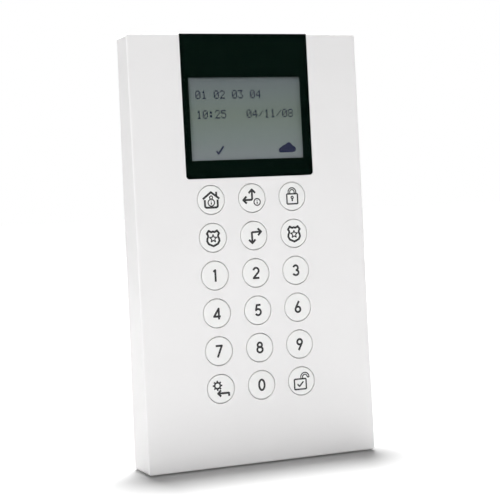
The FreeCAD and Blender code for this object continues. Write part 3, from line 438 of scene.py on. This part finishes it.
# A unit square is inset, its outer corners go to the sheet's edge and its inner ones to the window's.
UNIT_HALF = 0.5
UNIT_INSET = 0.1
print_mesh = bmesh.new()
bmesh.ops.create_grid(print_mesh, x_segments=1, y_segments=1, size=UNIT_HALF)
bmesh.ops.inset_region(print_mesh, faces=print_mesh.faces[:], thickness=UNIT_INSET, use_boundary=True,
                       use_even_offset=True)
window = [v for v in print_mesh.verts if max(abs(v.co.x), abs(v.co.y)) < UNIT_HALF - UNIT_INSET / 2]
border = [v for v in print_mesh.verts if v not in window]
for v in border:
    v.co.x = lens_low_x if v.co.x < 0 else lens_high_x
    v.co.y = lens_low_y if v.co.y < 0 else lens_high_y
for v in window:
    v.co.x = glass_x + math.copysign(VIEW_WIDTH / 2, v.co.x)
    v.co.y = glass_y + math.copysign(VIEW_HEIGHT / 2, v.co.y)
bmesh.ops.delete(print_mesh, geom=[f for f in print_mesh.faces if set(f.verts) == set(window)],
                 context="FACES_ONLY")
for v in print_mesh.verts:
    v.co.z = lens_back
round_bottom(print_mesh)
raise_faces(print_mesh, PRINT_THICKNESS)
rim_mesh = bmesh.new()
bmesh.ops.create_grid(rim_mesh, x_segments=1, y_segments=1, size=UNIT_HALF)
for v in rim_mesh.verts:
    v.co = (lens_low_x if v.co.x < 0 else lens_high_x, lens_low_y if v.co.y < 0 else lens_high_y, lens_back)
round_bottom(rim_mesh)
middle = rim_mesh.faces[:]
bmesh.ops.inset_region(rim_mesh, faces=middle, thickness=EDGE_INK, use_boundary=True, use_even_offset=True)
bmesh.ops.delete(rim_mesh, geom=middle, context="FACES")
raise_faces(rim_mesh, lens_front - lens_back - LENS_EDGE)
rim_data = bpy.data.meshes.new("rim")
rim_mesh.to_mesh(rim_data)
rim_mesh.free()
print_mesh.from_mesh(rim_data)
bpy.data.meshes.remove(rim_data)
# The ink is bonded to the acrylic, so there is almost no change of index at its face, and no gloss.
screen_ink = pad_ink("black_screen_ink", "#010704", 0.5, ior=1.02)
lens_print = place_mesh(print_mesh, "lens_print", screen_ink)
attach(lens_print, "panel")

# --- Display -------------------------------------------------------------------------------------
# A reflective text display: two glass plates with a grey-green polariser in front. Its characters
# are little squares that turn dark blue, five across and seven up, and its icons are whole segments.
GLYPHS = {
    "0": "01110 10001 10011 10101 11001 10001 01110", "1": "00100 01100 00100 00100 00100 00100 01110",
    "2": "01110 10001 00001 00010 00100 01000 11111", "3": "11111 00010 00100 00010 00001 10001 01110",
    "4": "00010 00110 01010 10010 11111 00010 00010", "5": "11111 10000 11110 00001 00001 10001 01110",
    "8": "01110 10001 10001 01110 10001 10001 01110", "/": "00000 00001 00010 00100 01000 10000 00000",
    ":": "00000 01100 01100 00000 01100 01100 00000",
}
DOT_PITCH = 0.385        # From dot to dot, in millimetres, across and up.
DOT_RISE = 0.43
DOT_SIZE = 1.0           # How much of its pitch a dot fills.
CHARACTER_PITCH = 2.31
SEGMENT_HEIGHT = 0.01    # How far the dark segments stand in front of the polariser.
# Each line's text, and where it starts, left to right and up from the middle of the display.
TEXT_LINES = [("01 02 03 04", -18.5, 10.2), ("10:25", -18.4, 3.2), ("04/11/08", 0.6, 3.2)]


def polariser():
    """The display's front film: satin, grey-green, and bluer towards its top and bottom. Its colour ramp also
    holds painted shade, darker towards the top. Its index is low, as the sheet's in front of it is, so
    that no white room shows in it."""
    material = new_material("reflective_polariser")
    place = add_node(material, "ShaderNodeTexCoord").outputs["Object"]
    moved = add_node(material, "ShaderNodeMapping", [("Vector", place)],
                     in_Location=-(FACE @ Vector((0, glass_y, 0))))
    parts = add_node(material, "ShaderNodeSeparateXYZ", [("Vector", moved.outputs["Vector"])])
    rise = add_node(material, "ShaderNodeMapRange", [("Value", parts.outputs["Z"])],
                    in_From_Min=-VIEW_HEIGHT / 2, in_From_Max=VIEW_HEIGHT / 2)
    # The ramp's colours are the film's tint with painted shade, darker towards the top of the display.
    tint_and_painted_shade = add_node(material, "ShaderNodeValToRGB", [("Fac", rise.outputs["Result"])])
    stops = tint_and_painted_shade.color_ramp.elements
    stops[0].color = linear("#5d6063")
    stops[1].color = linear("#494d50")
    for position, colour in ((0.25, "#565c5b"), (0.55, "#505752"), (0.8, "#4e5454")):
        stops.new(position).color = linear(colour)
    shader = add_node(material, "ShaderNodeBsdfPrincipled", [("Base Color", tint_and_painted_shade.outputs["Color"])],
                      in_Roughness=0.35, in_IOR=1.2)
    return finish_surface(material, shader.outputs["BSDF"])


wear(polariser(), "lcd_glass")

dots = bmesh.new()
for text, left, top in TEXT_LINES:
    for place, character in enumerate(text):
        for row, bits in enumerate(GLYPHS.get(character, "").split()):
            for column, bit in enumerate(bits):
                if bit == "1":
                    x = glass_x + (left + place * CHARACTER_PITCH + (column + 0.5) * DOT_PITCH) * MM
                    y = glass_y + (top - (row + 0.5) * DOT_RISE) * MM
                    half_x = DOT_PITCH * DOT_SIZE / 2 * MM
                    half_y = DOT_RISE * DOT_SIZE / 2 * MM
                    face_block(dots, (x - half_x, y - half_y, glass_level),
                               (x + half_x, y + half_y, glass_level + SEGMENT_HEIGHT * MM))
# The dark segments are as free of gloss as the film behind them.
text_crystal = pad_ink("dark_liquid_crystal_text", "#0d0e22", 0.4, ior=1.15)
display_text = place_mesh(dots, "display_text", text_crystal)
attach(display_text, "panel")

CHECK = [(0.7, False, [(-11.6, -11.2), (-10.85, -12.3), (-8.8, -9.6)])]
# The cloud's bumps, each given by its middle and its half width and height, on a flat base between
# two corners. All are in millimetres from the middle of the display.
CLOUD_BUMPS = [(13.4, -11.6, 1.1, 0.95), (14.6, -10.9, 1.2, 1.1), (16.4, -10.3, 1.45, 1.4),
               (17.9, -11.3, 1.3, 1.15)]
CLOUD_BASE = [(13.2, -12.5), (18.0, -11.0)]
check_mark = ink_strokes("display_check", CHECK, glass_x, glass_y, glass_level, SEGMENT_HEIGHT)
cloud = bmesh.new()
for x, y, radius_x, radius_y in CLOUD_BUMPS:
    shape = Matrix.Translation((glass_x + x * MM, glass_y + y * MM, glass_level)) @ Matrix.Diagonal(
        (radius_x * MM, radius_y * MM, 1, 1))
    bmesh.ops.create_circle(cloud, cap_ends=True, segments=28, radius=1, matrix=shape)
(low_x, low_y), (high_x, high_y) = CLOUD_BASE
face_block(cloud, (glass_x + low_x * MM, glass_y + low_y * MM, glass_level - SEGMENT_HEIGHT * MM),
           (glass_x + high_x * MM, glass_y + high_y * MM, glass_level))
bmesh.ops.translate(cloud, verts=cloud.verts[:], vec=(0, 0, SEGMENT_HEIGHT * MM))
icon_crystal = pad_ink("dark_liquid_crystal_icon", "#1a1c30", 0.4, ior=1.15)
display_cloud = place_mesh(cloud, "display_cloud", icon_crystal)
check_mark.data.materials.append(icon_crystal)
for icon in (check_mark, display_cloud):
    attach(icon, "panel")

# --- Rear housing, bracket and plunger -----------------------------------------------------------
# Three plain mouldings in the same white ABS, from a coarser tool because they face the wall, so they
# are matt and a little greyer. The bracket is screwed to the wall, and the housing hooks onto it.
housing_abs = moulded("white_abs_coarse", "#e9e8e6", "#e4e3e1", 0.55, grain=0.5, depth=0.02)
wear(housing_abs, "rear_housing", "wall_bracket", "tamper_plunger")

# --- Screws, clamps and spring -------------------------------------------------------------------
# Cold-headed steel screws and pressed clamps, zinc-plated and passivated, so they are bright with a
# faint blue cast. The spring is drawn wire, left plain.
METAL_PATCH = 0.6 * MM   # The size of the patches that differ in gloss.


def bright_metal(name, colour, roughness):
    """A bare or plated metal, whose gloss changes over small patches."""
    material = new_material(name)
    place = add_node(material, "ShaderNodeTexCoord").outputs["Object"]
    haze = add_node(material, "ShaderNodeTexNoise", [("Vector", place)],
                    in_Scale=1 / METAL_PATCH, in_Detail=4.0)
    gloss = add_node(material, "ShaderNodeMapRange", [("Value", haze.outputs["Fac"])],
                     in_To_Min=roughness - 0.1, in_To_Max=roughness + 0.1)
    shader = add_node(material, "ShaderNodeBsdfPrincipled", [("Roughness", gloss.outputs["Result"])],
                      in_Base_Color=linear(colour), in_Metallic=1.0)
    return finish_surface(material, shader.outputs["BSDF"])


wear(bright_metal("zinc_plated_steel", "#c4c8cc", 0.32), "housing_screws", "board_screws", "locking_screw",
     "terminal_screws", "terminal_clamps")
wear(bright_metal("drawn_spring_wire", "#a5a5a8", 0.28), "tamper_spring")

# --- Board and what it carries -------------------------------------------------------------------
# A fibreglass board under green solder mask, with parts soldered to its back, and the soft and clear
# parts between it and the cover. Little of it shows, except through the cable opening.

# Solder mask is glossy, and a little uneven over the weave of the laminate.
wear(moulded("green_solder_mask", "#1c5a38", "#17502f", 0.3, grain=1.2, depth=0.01), "main_board")
# Epoxy and phenolic moulding compound is matt and nearly black.
wear(moulded("black_moulding_compound", "#1d1d1f", "#19191b", 0.5), "board_chips", "buzzer", "tamper_switch")
# Dyed nylon is satin, with an even colour.
wear(moulded("green_terminal_nylon", "#2f7a45", "#2a7040", 0.45), "terminal_block")
# Drawn aluminium is bright and fairly smooth.
wear(bright_metal("drawn_aluminium_can", "#cfd1d4", 0.25), "board_capacitors")
# Fired ceramic is dull and sandy brown.
wear(moulded("fired_ceramic", "#a98f6e", "#9c8361", 0.6), "board_passives")
# Undyed nylon is a creamy off-white, and satin.
wear(moulded("natural_nylon", "#e3dfd0", "#ddd9c8", 0.45), "flex_connector", "lcd_frame")
# Polyimide film is amber, and glossy because it is cast smooth.
wear(moulded("polyimide_film", "#b5701f", "#ab681b", 0.25), "lcd_flex")
# The resin of a white LED is glossy, and pale yellow from the phosphor in it.
wear(moulded("clear_led_resin", "#f2ecc8", "#efe8be", 0.2), "backlight_leds", "key_leds")
# A light guide is polished acrylic on a white film, so it looks nearly white while it is dark.
wear(moulded("acrylic_light_guide", "#eef2f4", "#eaeef1", 0.15), "backlight_panel")
# Closed-cell foam is cut to shape, so its faces are dull and show its pores.
wear(moulded("black_closed_cell_foam", "#1b1b1c", "#151516", 0.8, grain=0.4, depth=0.05), "display_gasket",
     "lens_tape")
# Silicone rubber is milky and satin, and dull black where it is filled with carbon.
wear(moulded("milky_silicone", "#dcdcd8", "#d6d6d2", 0.5), "keypad_mat")
wear(moulded("carbon_loaded_silicone", "#141414", "#101010", 0.6), "contact_pills")

# --- Floor, lamps and camera ---------------------------------------------------------------------
# A pale sweep of paper under soft lamps. The panel stands on its lower edge, and the lamp above and
# behind it lays a soft shadow in front of it.
floor_level = cad_bounds[0].z
FADE_START = 0.13        # From the origin, in metres, the paper brightens to the white background.
FADE_END = 0.35
FLOOR_GLOW = 0.03        # How much it glows under the object, where 1 is white.
FLOOR_HALF = 3.0         # Half the floor's width, in metres.
PAPER_FIBRE = 1.5 * MM


def background_rays(material):
    """1 for the rays that should find the white background: seen directly, mirrored or through glass."""
    rays = add_node(material, "ShaderNodeLightPath").outputs
    seen = add_node(material, "ShaderNodeMath", [(0, rays["Is Camera Ray"]), (1, rays["Is Glossy Ray"])],
                    operation="MAXIMUM")
    seen = add_node(material, "ShaderNodeMath", [(0, seen.outputs[0]), (1, rays["Is Transmission Ray"])],
                    operation="MAXIMUM")
    return seen.outputs[0]


def paper_floor():
    """White paper that meets the white background, but keeps the shadow on it."""
    material = new_material("white_paper")
    place = add_node(material, "ShaderNodeTexCoord").outputs["Object"]
    fibre = add_node(material, "ShaderNodeTexNoise", [("Vector", place)],
                     in_Scale=1 / PAPER_FIBRE, in_Detail=3.0)
    bump = add_node(material, "ShaderNodeBump", [("Height", fibre.outputs["Fac"])],
                    in_Strength=0.1, in_Distance=0.02 * MM)
    away = add_node(material, "ShaderNodeVectorMath", [(0, place)], operation="LENGTH")
    fade = add_node(material, "ShaderNodeMapRange", [("Value", away.outputs["Value"])],
                    in_From_Min=FADE_START, in_From_Max=FADE_END, in_To_Min=FLOOR_GLOW, in_To_Max=1.0)
    glow = add_node(material, "ShaderNodeMath", [(0, background_rays(material)), (1, fade.outputs["Result"])],
                    operation="MULTIPLY")
    paper = add_node(material, "ShaderNodeBsdfDiffuse", [("Normal", bump.outputs["Normal"])],
                     in_Color=linear("#c4c4c4"))
    light = add_node(material, "ShaderNodeEmission", [("Strength", glow.outputs[0])])
    both = add_node(material, "ShaderNodeAddShader", [(0, paper.outputs[0]), (1, light.outputs[0])])
    return finish_surface(material, both.outputs[0])


floor_mesh = bmesh.new()
bmesh.ops.create_grid(floor_mesh, x_segments=4, y_segments=4, size=FLOOR_HALF,
                      matrix=Matrix.Translation((0, 0, floor_level)))
floor_data = bpy.data.meshes.new("floor")
floor_mesh.to_mesh(floor_data)
floor_mesh.free()
floor_data.materials.append(paper_floor())
floor = bpy.data.objects.new("floor", floor_data)
bpy.context.scene.collection.objects.link(floor)

world = bpy.data.worlds.new("soft_room")
bpy.context.scene.world = world
world.use_nodes = True
world.node_tree.nodes.clear()
AMBIENT = 0.05           # How much light the room itself throws on the object.
level = add_node(world, "ShaderNodeMapRange", [("Value", background_rays(world))],
                 in_To_Min=AMBIENT, in_To_Max=1.0)
room = add_node(world, "ShaderNodeBackground", [("Strength", level.outputs["Result"])],
                in_Color=(1.0, 1.0, 1.0, 1.0))
add_node(world, "ShaderNodeOutputWorld", [("Surface", room.outputs[0])])


def soft_lamp(name, place, size, watts):
    """A square soft box that faces the origin. Its place and its size are in metres."""
    lamp = bpy.data.lights.new(name, "AREA")
    lamp.shape = "SQUARE"
    lamp.size = size
    lamp.energy = watts
    holder = bpy.data.objects.new(name, lamp)
    holder.location = place
    holder.rotation_euler = (-Vector(place)).to_track_quat("-Z", "Y").to_euler()
    bpy.context.scene.collection.objects.link(holder)


soft_lamp("front_lamp", (-0.9, -1.0, 0.2), size=0.8, watts=11.4)
soft_lamp("side_lamp", (1.2, -0.7, 0.15), size=0.6, watts=2.8)
soft_lamp("overhead_lamp", (0.03, 0.15, 1.0), size=0.2, watts=25.0)
soft_lamp("back_lamp", (0.5, 1.2, 0.25), size=0.8, watts=2.5)

CAMERA_X = -186.7          # Left of the face's centre line, in millimetres.
CAMERA_Y = 8.4             # Above the face's centre.
CAMERA_Z = 456.6           # In front of the face.
CAMERA_YAW = -22.04        # Turned towards the face, in degrees.
CAMERA_PITCH = -1.03
CAMERA_ROLL = -2.99
SENSOR_WIDTH = 36.0        # This and the focal length are in millimetres.
FOCAL_LENGTH = 99.7
camera_data = bpy.data.cameras.new("camera")
camera_data.sensor_width = SENSOR_WIDTH
camera_data.lens = FOCAL_LENGTH
camera_data.clip_start = 0.01
camera = bpy.data.objects.new("camera", camera_data)
aim = (Matrix.Rotation(math.radians(CAMERA_YAW), 4, "Y") @ Matrix.Rotation(math.radians(CAMERA_PITCH), 4, "X")
       @ Matrix.Rotation(math.radians(CAMERA_ROLL), 4, "Z"))
camera.matrix_world = FACE @ Matrix.Translation(Vector((CAMERA_X, CAMERA_Y, CAMERA_Z)) * MM) @ aim
bpy.context.scene.collection.objects.link(camera)
bpy.context.scene.camera = camera
bpy.context.scene.view_settings.view_transform = "Standard"
